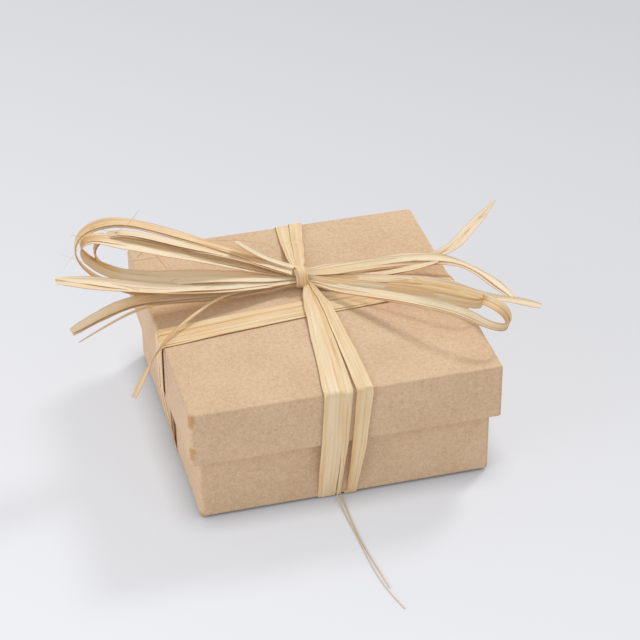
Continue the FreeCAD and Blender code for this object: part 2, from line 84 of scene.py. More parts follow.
def smoothLine(points, detail=14):
    # points read from the NURBS spline that has these control points
    curve = bpy.data.curves.new("routeCurve", "CURVE")
    curve.dimensions = "3D"
    curve.resolution_u = detail
    spline = curve.splines.new("NURBS")
    spline.points.add(len(points) - 1)
    for place, point in zip(spline.points, points):
        place.co = (*point, 1.0)
    spline.order_u = 3
    spline.use_endpoint_u = True
    spline.resolution_u = detail
    carrier = addObject("routeCarrier", curve)
    flat = bpy.data.meshes.new_from_object(carrier)
    line = [vertex.co.copy() for vertex in flat.vertices]
    bpy.data.objects.remove(carrier)
    bpy.data.curves.remove(curve)
    bpy.data.meshes.remove(flat)
    return line


def lineWalker(line):
    # a function that gives the point and direction at a share of the line's length
    reached = [0.0]
    for a, b in zip(line, line[1:]):
        reached.append(reached[-1] + (b - a).length)
    total = reached[-1]

    def pointAt(goal):
        low, high = 0, len(reached) - 2
        while low < high:
            half = (low + high + 1) // 2
            if reached[half] <= goal:
                low = half
            else:
                high = half - 1
        a, b = line[low], line[low + 1]
        share = (goal - reached[low]) / max(reached[low + 1] - reached[low], 1e-9)
        return a + (b - a) * min(max(share, 0), 1)

    def at(t):
        goal = min(max(t, 0), 1) * total
        step = total * 0.006
        ahead, behind = pointAt(min(goal + step, total)), pointAt(max(goal - step, 0))
        return pointAt(goal), (ahead - behind).normalized()
    return at, total


def settle(piece, angle=50):
    # applies the modifiers and keeps folded rims crisp
    finished = bpy.data.meshes.new_from_object(
        piece.evaluated_get(bpy.context.evaluated_depsgraph_get()))
    piece.modifiers.clear()
    piece.data = finished
    finished.shade_smooth()
    finished.set_sharp_from_angle(angle=math.radians(angle))
    return piece


def nodeMaker(material):
    tree = material.node_tree
    tree.nodes.clear()

    def make(kind, settings=None, **sockets):
        made = tree.nodes.new(kind)
        for key, value in (settings or {}).items():
            setattr(made, key, value)
        for key, value in sockets.items():
            # i0, i1 and so on are sockets by number, the others by name
            socket = made.inputs[int(key[1:]) if key[1:].isdigit() else key.replace("_", " ")]
            if isinstance(value, bpy.types.NodeSocket):
                tree.links.new(value, socket)
            else:
                socket.default_value = value
        return made
    return make


def newMaterial(name):
    material = bpy.data.materials.new(name)
    material.use_nodes = True
    return material, nodeMaker(material)


def ramp(make, source, stops, interpolation="LINEAR"):
    made = make("ShaderNodeValToRGB", Fac=source)
    band = made.color_ramp
    band.interpolation = interpolation
    while len(band.elements) < len(stops):
        band.elements.new(0.5)
    for element, (place, shade) in zip(band.elements, stops):
        element.position = place
        element.color = (shade, shade, shade, 1) if isinstance(shade, (int, float)) else (*shade, 1)
    return made.outputs["Color"]


def tint(make, colour, mask, strength, shade):
    # puts shade over colour where the mask is light
    share = calculate(make, "MULTIPLY", mask, strength)
    made = make("ShaderNodeMix", {"data_type": "RGBA", "blend_type": "MIX"},
                i0=share, i6=colour, i7=(*shade, 1))
    return made.outputs[2]


def calculate(make, how, first, second=0.0, third=0.0, clamp=False):
    made = make("ShaderNodeMath", {"operation": how, "use_clamp": clamp}, i0=first, i1=second, i2=third)
    return made.outputs[0]


def noiseField(make, place, scale, detail=3.0, rough=0.55, output="Fac"):
    made = make("ShaderNodeTexNoise", Vector=place, Scale=scale, Detail=detail, Roughness=rough)
    return made.outputs[output]


def stretchedNoise(make, place, stretch, detail, rough, shift=(0, 0, 0), turn=(0, 0, 0)):
    moved = make("ShaderNodeMapping", Vector=place, Scale=stretch, Location=shift, Rotation=turn)
    return noiseField(make, moved.outputs[0], 1.0, detail, rough)


def finishMaterial(make, colour, height, bump, depth, **surface):
    raised = make("ShaderNodeBump", Strength=bump, Distance=depth, Height=height)
    shader = make("ShaderNodeBsdfPrincipled", Base_Color=colour, Normal=raised.outputs[0], **surface)
    make("ShaderNodeOutputMaterial", Surface=shader.outputs[0])


raffiaLook = {
    "pale": (0.885, 0.725, 0.500), "straw": (0.840, 0.615, 0.350), "ochre": (0.740, 0.440, 0.175),
    "brown": (0.420, 0.210, 0.075), "light": (0.930, 0.810, 0.610),
    # fibre density per metre across and along a strand
    "fine": (2600, 26, 1), "broad": (760, 9, 1), "patch": (190, 55, 1),
    "darkFibres": 0.60, "rimBrownAndShade": 0.70, "lightFibres": 0.35,
    "bump": 0.55, "bumpDepth": 0.00012,
}


def raffiaMaterial(name, paintedShadeWarmth, look=raffiaLook):
    material, make = newMaterial(name)
    along = make("ShaderNodeUVMap", {"uv_map": "strand"}).outputs[0]
    tone = make("ShaderNodeAttribute", {"attribute_name": "tone"}).outputs["Fac"]
    rimShare = make("ShaderNodeAttribute", {"attribute_name": "rim"}).outputs["Fac"]
    fine = stretchedNoise(make, along, look["fine"], 3.0, 0.6)
    broad = stretchedNoise(make, along, look["broad"], 3.0, 0.55)
    patch = stretchedNoise(make, along, look["patch"], 2.0, 0.5)
    # straw with paler and darker fibres
    share = calculate(make, "MULTIPLY_ADD", broad, 1.5, -0.40)
    share = calculate(make, "ADD", share, calculate(make, "MULTIPLY_ADD", tone, 1.0, -0.35 + paintedShadeWarmth))
    share = calculate(make, "ADD", share, calculate(make, "MULTIPLY_ADD", patch, 0.5, -0.25), clamp=True)
    colour = ramp(make, share, [(0.0, look["pale"]), (0.42, look["straw"]), (0.80, look["ochre"]),
                                (1.0, look["brown"])])
    dark = ramp(make, fine, [(0.30, 1.0), (0.42, 0.0)])
    colour = tint(make, colour, dark, look["darkFibres"], look["ochre"])
    # Ply edges are darkened towards brown: partly the raffia's own browner edges, partly painted shade for
    # the dark lines between plies and between strips.
    edge = ramp(make, rimShare, [(0.84, 0.0), (1.0, 1.0)])
    colour = tint(make, colour, edge, look["rimBrownAndShade"], look["brown"])
    light = ramp(make, fine, [(0.56, 0.0), (0.72, 1.0)])
    colour = tint(make, colour, light, look["lightFibres"], look["light"])
    height = calculate(make, "ADD", fine, calculate(make, "MULTIPLY", broad, 1.4))
    finishMaterial(make, colour, height, look["bump"], look["bumpDepth"], Roughness=0.52,
                   Specular_IOR_Level=0.38, Sheen_Weight=0.08,
                   Subsurface_Weight=0.08, Subsurface_Scale=0.0003)
    return material


kraftLook = {
    "colour": (0.720, 0.520, 0.340), "light": (0.800, 0.615, 0.435), "dark": (0.590, 0.400, 0.240),
    "fleck": (0.300, 0.170, 0.085), "straw": (0.780, 0.620, 0.430),
    "stain": (0.520, 0.285, 0.095),
    "grain": 2300, "mottle": 700, "cloud": 55,
    # single fibres along x, then along y: noise stretch and strength
    "fibres": (((700, 2300, 2300), 0.30), ((2300, 700, 2300), 0.26)),
    "stainStrength": 0.75, "bump": 0.28, "bumpDepth": 0.00010,
}


def kraftMaterial(name, stains, look=kraftLook):
    # stains are (x, y, z, radius) in mm
    material, make = newMaterial(name)
    place = make("ShaderNodeTexCoord").outputs["Object"]
    grain = noiseField(make, place, look["grain"], 3.0, 0.65)
    mottle = noiseField(make, place, look["mottle"], 4.0, 0.6)
    cloud = noiseField(make, place, look["cloud"], 3.0, 0.5)
    share = calculate(make, "MULTIPLY_ADD", grain, 1.25, -0.45)
    share = calculate(make, "ADD", share, calculate(make, "MULTIPLY_ADD", mottle, 0.75, -0.32))
    share = calculate(make, "ADD", share, calculate(make, "MULTIPLY_ADD", cloud, 0.50, -0.10), clamp=True)
    colour = ramp(make, share, [(0.05, look["dark"]), (0.5, look["colour"]), (0.95, look["light"])])
    # single dark and pale fibres pressed into the sheet
    for number, (stretch, strength) in enumerate(look["fibres"]):
        fibre = stretchedNoise(make, place, stretch, 2.0, 0.5, (number * 3.1, 1.7, 0.4))
        darkest = ramp(make, fibre, [(0.655, 0.0), (0.72, 1.0)])
        palest = ramp(make, fibre, [(0.28, 1.0), (0.35, 0.0)])
        colour = tint(make, colour, darkest, strength, look["fleck"])
        colour = tint(make, colour, palest, strength, look["straw"])
    ragged = calculate(make, "MULTIPLY_ADD", mottle, 0.9, 0.55)
    for x, y, z, radius in stains:
        middle = (x * mm, y * mm, z * mm)
        offset = make("ShaderNodeVectorMath", {"operation": "DISTANCE"}, i0=place, i1=middle)
        near = calculate(make, "DIVIDE", offset.outputs["Value"], radius * mm)
        near = calculate(make, "MULTIPLY", near, ragged)
        spot = ramp(make, near, [(0.35, look["stainStrength"]), (1.0, 0.0)], "EASE")
        colour = tint(make, colour, spot, 1.0, look["stain"])
    height = calculate(make, "ADD", grain, calculate(make, "MULTIPLY", mottle, 1.2))
    finishMaterial(make, colour, height, look["bump"], look["bumpDepth"],
                   Roughness=0.78, Specular_IOR_Level=0.22, Sheen_Weight=0.05)
    return material


boardLook = {"colour": (0.50, 0.455, 0.40), "light": (0.62, 0.58, 0.52), "dark": (0.36, 0.32, 0.28)}


def boardMaterial(look=boardLook):
    material, make = newMaterial("chipboardGrey")
    place = make("ShaderNodeTexCoord").outputs["Object"]
    grain = noiseField(make, place, 1500, 5.0, 0.7)
    cloud = noiseField(make, place, 120, 3.0, 0.5)
    share = calculate(make, "MULTIPLY_ADD", cloud, 0.5, -0.2)
    share = calculate(make, "ADD", share, grain, clamp=True)
    colour = ramp(make, share, [(0.25, look["dark"]), (0.5, look["colour"]), (0.8, look["light"])])
    finishMaterial(make, colour, grain, 0.35, 0.0001, Roughness=0.88, Specular_IOR_Level=0.15)
    return material


tapeLook = {"dark": (0.60, 0.48, 0.34), "light": (0.74, 0.62, 0.47)}


def tapeMaterial(look=tapeLook):
    material, make = newMaterial("gummedTape")
    place = make("ShaderNodeTexCoord").outputs["Object"]
    grain = noiseField(make, place, 1100, 4.0, 0.6)
    colour = ramp(make, grain, [(0.3, look["dark"]), (0.7, look["light"])])
    finishMaterial(make, colour, grain, 0.2, 0.00008, Roughness=0.6, Specular_IOR_Level=0.3)
    return material


cottonLook = {
    "dark": (0.80, 0.775, 0.72), "light": (0.90, 0.89, 0.86),
    # noise scales per metre; bend is how far the fibres wander, in metres
    "swirl": 130, "lump": 160, "strands": (300, 2400, 1200), "turn": (0, 0, 0.6),
    "bend": (0.006, 0.006, 0.006),
}


def cottonMaterial(look=cottonLook):
    material, make = newMaterial("cottonFibre")
    place = make("ShaderNodeTexCoord").outputs["Object"]
    swirl = noiseField(make, place, look["swirl"], 4.0, 0.6, "Color")
    bent = make("ShaderNodeVectorMath", {"operation": "MULTIPLY_ADD"}, i0=swirl, i1=look["bend"], i2=place)
    fibre = stretchedNoise(make, bent.outputs[0], look["strands"], 4.0, 0.65, turn=look["turn"])
    lump = noiseField(make, place, look["lump"], 3.0, 0.5)
    share = calculate(make, "MULTIPLY", lump, 0.4)
    share = calculate(make, "ADD", calculate(make, "MULTIPLY", fibre, 0.6), share)
    colour = ramp(make, share, [(0.3, look["dark"]), (0.65, look["light"])])
    finishMaterial(make, colour, fibre, 0.6, 0.0003, Roughness=0.95, Specular_IOR_Level=0.1, Sheen_Weight=0.4,
                   Subsurface_Weight=0.3, Subsurface_Scale=0.002)
    return material


# the inner material is a slightly warmer, darker copy of the outer one: painted shade for the insides of the
# loops
raffiaOuter = raffiaMaterial("raffiaOuter", 0.0)
raffiaInnerShaded = raffiaMaterial("raffiaInnerShaded", 0.03)
kraftLid = kraftMaterial("kraftLid", [(-44.4, -44.4, 36.0, 2.2), (-44.4, -44.4, 34.2, 1.7),
                                      (-44.4, -44.4, 25.4, 1.9), (-44.4, -44.4, 23.6, 1.5)])
kraftBase = kraftMaterial("kraftBase", [(-42.0, -42.0, 1.0, 1.6), (42.0, -42.0, 1.2, 1.6)])
cadFinish = {
    "lid_wrap": kraftLid, "base_wrap": kraftBase,
    "lid_board": boardMaterial(), "lid_corner_stays": tapeMaterial(),
}
cadFinish["base_board"] = cadFinish["lid_board"]
cadFinish["base_corner_stays"] = cadFinish["lid_corner_stays"]
for nodeName, material in cadFinish.items():
    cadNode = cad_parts[nodeName]
    for place in cadNode.material_slots:
        place.material = material
    if not cadNode.material_slots:
        cadNode.data.materials.append(material)
print("materials made")


# what a strand is like where its own dictionary doesn't say; thick, stack, ripple and pleat are in mm
strandDefaults = {
    "plies": 3, "overlap": 1.8, "stack": 0.32, "variety": 0.33, "thick": 0.13, "tip": [(0, 1), (1, 1)],
    "step": 0.0011, "cells": 6, "start": 0, "twist": 0.16, "ragged": 1, "stray": 0.10, "ripple": 0.16,
    "curl": 0.10, "pleat": 0.07, "outline": 1, "fan": [(0, 1)], "tone": [(0, 0.3)],
}
# lengths, in mm, of the slow waves that make a ply uneven, and how strong the ragged edge is
plyWaves = {
    "edge": 13, "edgeFine": 3.5, "aside": 24, "lift": 17, "curl": 20, "pleat": 26, "tone": 10, "twist": 22,
    "edgeDepth": 0.12, "edgeFineDepth": 0.05,
}


def addPly(bm, layers, at, total, spec, ply, waves=plyWaves):
    # one thin layer of a strand, a grid bent along the strand's line
    spec = strandDefaults | spec
    uvLayer, toneLayer, rimLayer = layers
    first, last = ply["span"]
    along = max(int(total * (last - first) / spec["step"]), 8)
    made = bmesh.ops.create_grid(bm, x_segments=along, y_segments=spec["cells"], size=0.5)["verts"]
    edgeSeed, liftSeed, twistSeed = ply["seed"], ply["seed"] + 3.3, ply["seed"] + 6.1
    places = {}
    for vertex in made:
        share, side = vertex.co.x + 0.5, -2 * vertex.co.y
        t = first + (last - first) * share
        point, direction = at(t)
        run = t * total + spec["start"]
        across = Vector(between(spec["across"], t))
        across = (across - direction * across.dot(direction)).normalized()
        turn = spec["twist"] * wander(twistSeed, run, waves["twist"])
        across = Matrix.Rotation(turn, 3, direction) @ across
        face = across.cross(direction)
        width = between(spec["width"], t) * mm
        half = width * ply["share"] / 2
        uneven = waves["edgeDepth"] * wander(edgeSeed, run, waves["edge"])
        uneven += waves["edgeFineDepth"] * wander(edgeSeed + 9, run, waves["edgeFine"])
        half *= 1 + spec["ragged"] * uneven
        half *= between(ply["tip"], share)
        middle = width * ply["offset"] * between(spec["fan"], t)
        middle += width * spec["stray"] * wander(edgeSeed + 4, run, waves["aside"])
        lift = ply["lift"] + spec["ripple"] * mm * wander(liftSeed, run, waves["lift"])
        curled = 0.6 + wander(liftSeed + 5, run, waves["curl"])
        bend = spec["curl"] * half * (side * side - 0.35) * curled
        pleatTurn = side * ply["pleats"] + ply["phase"] + 0.7 * wander(liftSeed + 2, run, waves["pleat"])
        pleat = spec["pleat"] * mm * math.cos(math.pi * pleatTurn)
        vertex.co = point + across * (middle + half * side) + face * (lift + bend + pleat)
        tone = between(spec["tone"], t) + ply["tone"]
        vertex[toneLayer] = tone + 0.10 * wander(liftSeed + 8, run, waves["tone"])
        # rim share for the darkened ply edges, partly painted shade between plies and strips; outline sets
        # how strong it is
        vertex[rimLayer] = abs(side) * spec["outline"]
        places[vertex] = (half * side + ply["seed"] * 0.0113, run + ply["seed"] * 0.137)
    for cell in {cell for vertex in made for cell in vertex.link_faces}:
        for corner in cell.loops:
            corner[uvLayer].uv = places[corner.vert]


def strandLayers(bm):
    floats = bm.verts.layers.float
    return bm.loops.layers.uv.new("strand"), floats.new("tone"), floats.new("rim")


def ribbonMesh(name, line, spec):
    # all the plies of one strand, in one piece
    spec = strandDefaults | spec
    at, total = lineWalker(line)
    bm = bmesh.new()
    layers = strandLayers(bm)
    dice = random.Random(spec.get("seed", name))
    plies = spec["plies"]
    overlap = spec["overlap"] if plies > 1 else 1
    spread = (plies - overlap) / (plies - 1) if plies > 1 else 0
    for number in range(plies):
        spot = (number + 0.5) / plies - 0.5
        # one draw is passed over, so that the plies after it keep their shapes
        dice.random()
        ply = {
            "span": (0, 1),
            "share": dice.uniform(0.85, 1.15) * overlap / plies,
            "offset": spot * spread,
            "lift": (dice.uniform(-0.5, 0.5) + 0.5 * (number % 2)) * spec["stack"] * mm,
            "tone": dice.uniform(-1, 1) * spec["variety"],
            "pleats": dice.choice((1.0, 1.5, 2.0)),
            "phase": dice.uniform(0, 2),
            "seed": dice.uniform(1, 90),
            "tip": spec["tip"],
        }
        addPly(bm, layers, at, total, spec, ply)
    return ribbonFromMesh(name, bm, spec["thick"])


def ribbonFromMesh(name, bm, thick):
    # gives the sheets their thickness, with a warmer inner face that is painted shade for the shaded insides
    # of the loops
    mesh = bpy.data.meshes.new(name)
    bm.to_mesh(mesh)
    bm.free()
    piece = addObject(name, mesh)
    mesh.materials.append(raffiaOuter)
    mesh.materials.append(raffiaInnerShaded)
    shell = piece.modifiers.new("thickness", "SOLIDIFY")
    shell.thickness = thick * mm
    shell.offset = 0
    shell.material_offset = 1
    settle(piece)
    return piece


def inMetres(points):
    return [Vector([value * mm for value in point]) for point in points]


def fromKnot(points):
    return [knotMiddle + point for point in inMetres(points)]


# tips: a ply's share of its width, narrowing towards its end
pointed = [(0, 1), (0.86, 0.95), (0.96, 0.65), (1, 0.36)]
leafTip = [(0, 1), (0.8, 1), (0.95, 0.75), (1, 0.4)]
blunt = [(0, 1), (0.96, 1), (1, 0.72)]
leftAcross = [(0, (0.1, 0.9, 0.4)), (0.3, (0, 0.97, 0.26)), (1, (0, 0.97, 0.26))]
rightAcross = [(0, (0, -0.95, -0.3)), (0.4, (0, -0.97, -0.26)), (1, (0, -0.97, -0.26))]

# Free strands of the bow. Each route is in mm from the middle of the knot, and widths are in mm.
# Their tone keys mix the raffia's own colour with painted light and shade: paler on the runs that lie in the
# shade of the strands above, darker where a loop turns and shows its shaded inner face.
bowStrands = {
    "left_loop_outer": {
        "route": [(-1.4, 1, 1.2), (-8.3, 3.5, 3.6), (-18.2, 5, 9.2), (-28, 6.5, 13.4), (-39.7, 7.5, 18.5),
                  (-50, 7.6, 23.2), (-58, 6.6, 23.8), (-63.4, 5, 21.2), (-64.6, 3, 16.6), (-61.4, 1, 11.8),
                  (-54.6, -1, 7.2), (-44.6, -2, 3.7), (-29.6, -2, 1.9), (-14.4, -1.6, .6), (-1.4, -.6, -.4)],
        "across": [(0, (0, .97, .26)), (.2, (0, .97, .26)), (.42, (0, .95, .3)), (.5, (.1, 1, 0)),
                   (.58, (.1, .95, .1)), (.7, (0, .97, .26)), (1, (0, .97, .26))],
        "width": [(0, 1.9), (.07, 2.6), (.25, 2.9), (.4, 2.7), (.48, 2.2), (.56, 1.7), (.64, 2.8), (.8, 4.2),
                  (.93, 3.2), (1, 1.8)],
        "fan": [(0, 1), (.3, 1.3), (.5, .9), (.8, 1.25), (1, 1)],
        "tone": [(0, .3), (.3, .16), (.5, .3), (.65, .2), (.8, .02), (1, .25)],
        "plies": 3, "diameter": .0034, "far": "object",
    },
    "left_loop_middle": {
        "route": [(-1.4, .8, .2), (-10.7, 2.2, 3.6), (-21.8, 2.4, 8.1), (-32.5, 2.1, 12.5), (-43.7, 2, 17.1),
                  (-54.5, 1.5, 21.2), (-61, .7, 23.4), (-63.5, -.2, 21.1), (-61.6, -1.1, 17.5),
                  (-56.7, -1.5, 13.7), (-50.2, -1.8, 10.5), (-40.3, -1.7, 7.8), (-27.7, -.9, 5.9),
                  (-14.7, -.2, 2.8), (-1.4, 0, .4)],
        "across": [(0, (0, .97, .26)), (.3, (0, .97, .26)), (.44, (0, .97, .26)), (.52, (.2, .9, .35)),
                   (.6, (.25, .8, .5)), (1, (0, .97, .26))],
        "width": [(0, 2.0), (.08, 3.4), (.25, 4.4), (.4, 3.6), (.48, 2.6), (.56, 3.0), (.7, 3.2), (.92, 3.2),
                  (1, 1.8)],
        "fan": [(0, 1), (.25, 1.1), (.5, .8), (.8, 1.2), (1, 1)],
        "tone": [(0, .3), (.25, .12), (.42, .05), (.47, .55), (.5, .85), (.56, .70), (.64, .38), (.75, .08),
                 (1, .25)],
        "plies": 3, "diameter": .0038, "far": "object",
    },
    "left_loop_inner": {
        "route": [(-1.4, .4, 1), (-9.9, 2.8, 4.7), (-20.5, 3.3, 9.3), (-31.5, 3.5, 13.8), (-42.8, 3.8, 18.6),
                  (-52, 3.4, 22.1), (-57.5, 2.5, 21.2), (-59.5, 1.1, 17.3), (-56.6, -.4, 13.1),
                  (-50.1, -1.9, 8.1), (-39, -2, 5.3), (-26.1, -1.6, 3.3), (-13.4, -.8, 1.5), (-1.4, -.4, 0)],
        "across": [(0, (0, .97, .26)), (.3, (0, .97, .26)), (.45, (0, .95, .3)), (.55, (.1, .95, .2)),
                   (.7, (0, .97, .26)), (1, (0, .97, .26))],
        "width": [(0, 1.6), (.08, 2.2), (.3, 2.3), (.48, 1.6), (.6, 2.0), (.85, 3.2), (1, 1.6)],
        "tone": [(0, .35), (.4, .15), (.55, .42), (.75, .06), (1, .25)],
        "plies": 2, "diameter": .0024, "far": "object",
    },
    "left_tail_leaf": {
        "route": [(-1.4, -.4, -.1), (-14.1, -2.8, 1.7), (-28.5, -4.5, 4.1), (-41.9, -6, 7),
                  (-54.1, -6.7, 11.1), (-63.4, -7.3, 14.3), (-71.8, -7.8, 16.6)],
        "width": [(0, 1.5), (.15, 2.3), (.3, 2.6), (.7, 3.0), (.85, 3.2), (1, 2.6)],
        "fan": [(0, 1), (.7, 1), (1, 1.1)],
        "tone": [(0, .3), (.6, .2), (1, .16)],
        "across": leftAcross, "plies": 3, "diameter": .0030, "tip": leafTip, "far": "bare",
    },
    "left_tail_wide": {
        "route": [(-1.4, -.9, -1), (-14.6, -2.6, -.5), (-28.5, -3.9, 1.2), (-40.7, -5.4, 3.4),
                  (-50, -6.8, 5.2), (-59.8, -9, 3.7), (-69, -11.2, .7)],
        "width": [(0, 1.4), (.15, 2.2), (.3, 2.4), (.6, 2.4), (.8, 2.8), (1, 2.4)],
        "tone": [(0, .3), (.5, .25), (.66, .72), (.8, .52), (1, .50)],
        "across": leftAcross, "plies": 2, "diameter": .0028, "tip": blunt, "far": "bare",
    },
    "left_tail_thin": {
        "route": [(-1.4, -1.4, -.8), (-14.4, -3.6, -.9), (-28.2, -4.8, .2), (-38.8, -6.2, 2.2),
                  (-47.2, -7.8, 3.4), (-57.4, -10.4, 1.8), (-67.4, -12.8, -2)],
        "width": [(0, .7), (.5, .65), (1, .5)],
        "tone": [(0, .4), (1, .5)],
        "across": leftAcross, "plies": 1, "diameter": .0007, "cells": 4, "pleat": .02, "tip": pointed,
        "far": "bare",
    },
    "left_tail_short": {
        "route": [(10.2, 3, -.8), (3.6, 2.2, .4), (-2.8, 2.6, 3), (-8.6, 3.9, 5.6), (-13.2, 4.8, 8.6),
                  (-17.6, 5.5, 12.2)],
        "width": [(0, .8), (.4, 1.6), (.8, 1.9), (1, 1.9)],
        "tone": [(0, .2), (.6, .1), (1, .0)],
        "across": leftAcross, "plies": 2, "diameter": .0019, "tip": blunt, "far": "bare",
    },
    "left_tail_crossing": {
        "route": [(-1.4, -1.8, 0), (-12.6, -3.2, .8), (-24.4, -4.8, 1.2), (-34.8, -10.8, -.4),
                  (-43, -18.2, -.9), (-48.2, -23.6, -3.2), (-52, -27.6, -7), (-55.7, -30.5, -11)],
        "across": [(0, (0, .97, .26)), (.4, (-.3, .8, .5)), (.8, (.6, .5, .6)), (1, (.6, .4, .6))],
        "width": [(0, .7), (.45, .6), (.7, .8), (.88, 1.5), (1, 1.6)],
        "tone": [(0, .4), (.6, .3), (1, .3)],
        "plies": 1, "diameter": .0016, "cells": 4, "tip": blunt, "far": "bare",
    },
    "right_tail_top": {
        "route": [(1.4, .8, 1), (11.8, .1, 1.2), (22.2, -.2, 1.5), (32.6, -.5, 1.7), (40.9, -2, 1.4),
                  (46.4, -4.8, .8), (50.4, -8.4, -.2), (54.2, -13, -1.8), (57.1, -17.8, -3.3),
                  (59.5, -22.2, -5)],
        "width": [(0, 2.0), (.12, 3.3), (.4, 3.1), (.55, 2.9), (.72, 1.7), (.9, 2.6), (1, 2.0)],
        "tone": [(0, .3), (.3, .28), (.6, .18), (1, .1)],
        "across": rightAcross, "plies": 3, "diameter": .0030, "tip": pointed, "far": "bare",
    },
    "right_tail_middle": {
        "route": [(1.4, 0, .2), (10.4, -2.6, -.4), (19, -5.8, 0), (27.6, -8.4, .5), (35.6, -12, .8),
                  (41.8, -16.4, .4), (46.6, -20.6, -.6), (52.8, -23, -1.8), (59.4, -25.2, -2.8),
                  (64.5, -27.9, -3.8)],
        "width": [(0, 1.2), (.3, 2.0), (.6, 1.8), (.85, 1.8), (1, 1.8)],
        "tone": [(0, .4), (.5, .3), (.7, .15), (1, .3)],
        "across": rightAcross, "plies": 2, "diameter": .0020, "tip": blunt, "far": "bare",
    },
    "right_loop_wide": {
        "route": [(1.4, -.7, -.6), (6.4, -5.2, -.6), (11.6, -10.6, .2), (18.6, -17.4, 1.8), (26, -25.4, 3.7),
                  (32.8, -34, 5.4), (38.6, -40.4, 5.7), (43.4, -46.2, 4.9), (47.8, -46.8, 4.2),
                  (50, -41.6, 3.8), (49.7, -35.2, 3.2), (47.2, -28.4, 2.2), (42.4, -21.4, 1.2),
                  (34.8, -14.6, .6), (25.2, -9, 0), (15, -4.8, -.6), (7.6, -2.2, -.9), (1.4, -.2, -.9)],
        "across": [(0, (-.3, -.9, -.3)), (.2, (-.6, -.75, -.25)), (.36, (-.5, -.7, -.45)),
                   (.44, (-.2, -.35, -.9)), (.5, (-.5, -.3, -.8)), (.58, (-.7, -.6, -.35)),
                   (.8, (-.3, -.9, -.3)), (1, (0, -.9, -.4))],
        "width": [(0, 1.4), (.08, 2.3), (.2, 3.0), (.36, 2.8), (.45, 2.0), (.52, 2.5), (.62, 3.0), (.85, 3.2),
                  (1, 1.5)],
        "fan": [(0, 1), (.2, .9), (.5, .7), (.8, 1.3), (1, 1)],
        "tone": [(0, .3), (.15, .16), (.4, .10), (.45, .3), (.5, .62), (.58, .5), (.75, .62), (.9, .5),
                 (1, .4)],
        "plies": 3, "diameter": .0038, "far": "object",
    },
    "right_loop_inner": {
        "route": [(1.4, -.4, .4), (10.4, -6.6, .2), (20.8, -13.8, 1.2), (31, -21.8, 2.4), (38.6, -28, 2.8),
                  (44.2, -31.4, 2.4), (46.9, -28.6, 1.6), (45.6, -23.4, .9), (39.6, -17.2, .4),
                  (29.8, -11.6, -.2), (18.8, -6.8, -.6), (9.2, -2.8, -.6), (1.4, .2, -.4)],
        "across": [(0, (-.3, -.7, -.6)), (.3, (-.5, -.6, -.6)), (.45, (-.4, -.4, -.8)), (.6, (-.6, -.6, -.5)),
                   (1, (0, -.8, -.6))],
        "width": [(0, 1.2), (.15, 2.2), (.35, 2.4), (.47, 1.8), (.6, 2.0), (.85, 2.4), (1, 1.2)],
        "tone": [(0, .4), (.3, .42), (.47, .5), (.6, .6), (.85, .5), (1, .4)],
        "plies": 2, "diameter": .0022, "far": "object",
    },
    "right_tail_back": {
        "route": [(1.4, 1.2, .2), (11.6, 1.9, -.9), (22.4, 2.6, -1), (33.4, 2.3, -.9), (42.4, 2.2, -.6),
                  (49.2, 5, -.2), (55.3, 10.7, 1.2), (61.6, 16.1, 2.8), (66.6, 20.5, 4.2)],
        "across": [(0, (0, -.9, -.3)), (.5, (0, -.9, -.4)), (.75, (.5, -.7, -.4)), (1, (.5, -.6, -.6))],
        "width": [(0, 1.0), (.5, 1.6), (.72, 2.2), (.85, 2.0), (1, 1.3)],
        "tone": [(0, .3), (.6, .1), (1, -.05)],
        "plies": 1, "diameter": .0021, "tip": pointed, "far": "bare",
    },
    "right_strand_split": {
        "route": [(1.4, .5, -.2), (9.8, -1.2, -.2), (18, -3.3, -.3), (25.8, -4.6, 0), (33.8, -4.7, .6),
                  (41, -4.1, 1.1)],
        "width": [(0, .9), (.5, 1.2), (.8, 1.5), (1, 1.2)],
        "tone": [(0, .5), (1, .6)],
        "across": rightAcross, "plies": 2, "diameter": .0014, "tip": leafTip, "far": "bare",
    },
}

bowFullness = 1.4   # how much wider the bow's strands are than their keys
bowPaintedLight = 0.10      # painted light: how much paler they are than their tone keys, lifting the shade among the strands


def lineLength(line):
    return sum((b - a).length for a, b in zip(line, line[1:]))


def addCord(nodeName, body, line, spec):
    ribbon = ribbonMesh(nodeName + "_ribbon", line, spec)
    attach(ribbon, body)
    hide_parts(nodeName)


for nodeName, strand in bowStrands.items():
    spec = dict(strand, width=[(t, wide * bowFullness) for t, wide in strand["width"]],
                tone=[(t, tone - bowPaintedLight) for t, tone in strand["tone"]])
    addCord(nodeName, "tie", smoothLine(fromKnot(strand["route"])), spec)
print("bow strands made")


floorFibres = {
    "floor_fibre_long": {
        "route": [(-3, -42.9, 1.2), (-3, -44.9, .25), (-2.8, -53, .25), (-2.2, -62.95, .25),
                  (-1.8, -73.45, .25), (-.6, -84.95, .25), (1.8, -92.95, .25)],
        "diameter": .0003,
    },
    "floor_fibre_short": {
        "route": [(-1.9, -42.9, 1.2), (-1.7, -44.9, .25), (-2, -54, .25), (-1.7, -64.95, .25),
                  (-.4, -75.45, .25), (.4, -83.95, .25)],
        "diameter": .0003,
    },
}
fibreSpec = {"across": [(0, (1, 0, 0))], "width": [(0, .27), (.6, .25), (1, .2)], "plies": 1, "cells": 3,
             "pleat": .01, "curl": .3, "thick": .12, "tone": [(0, .2), (.3, -.3), (1, -.7)], "twist": .3}
for nodeName, fibre in floorFibres.items():
    line = smoothLine(inMetres(fibre["route"]))
    addCord(nodeName, "base", line, fibreSpec)
print("floor fibres made")


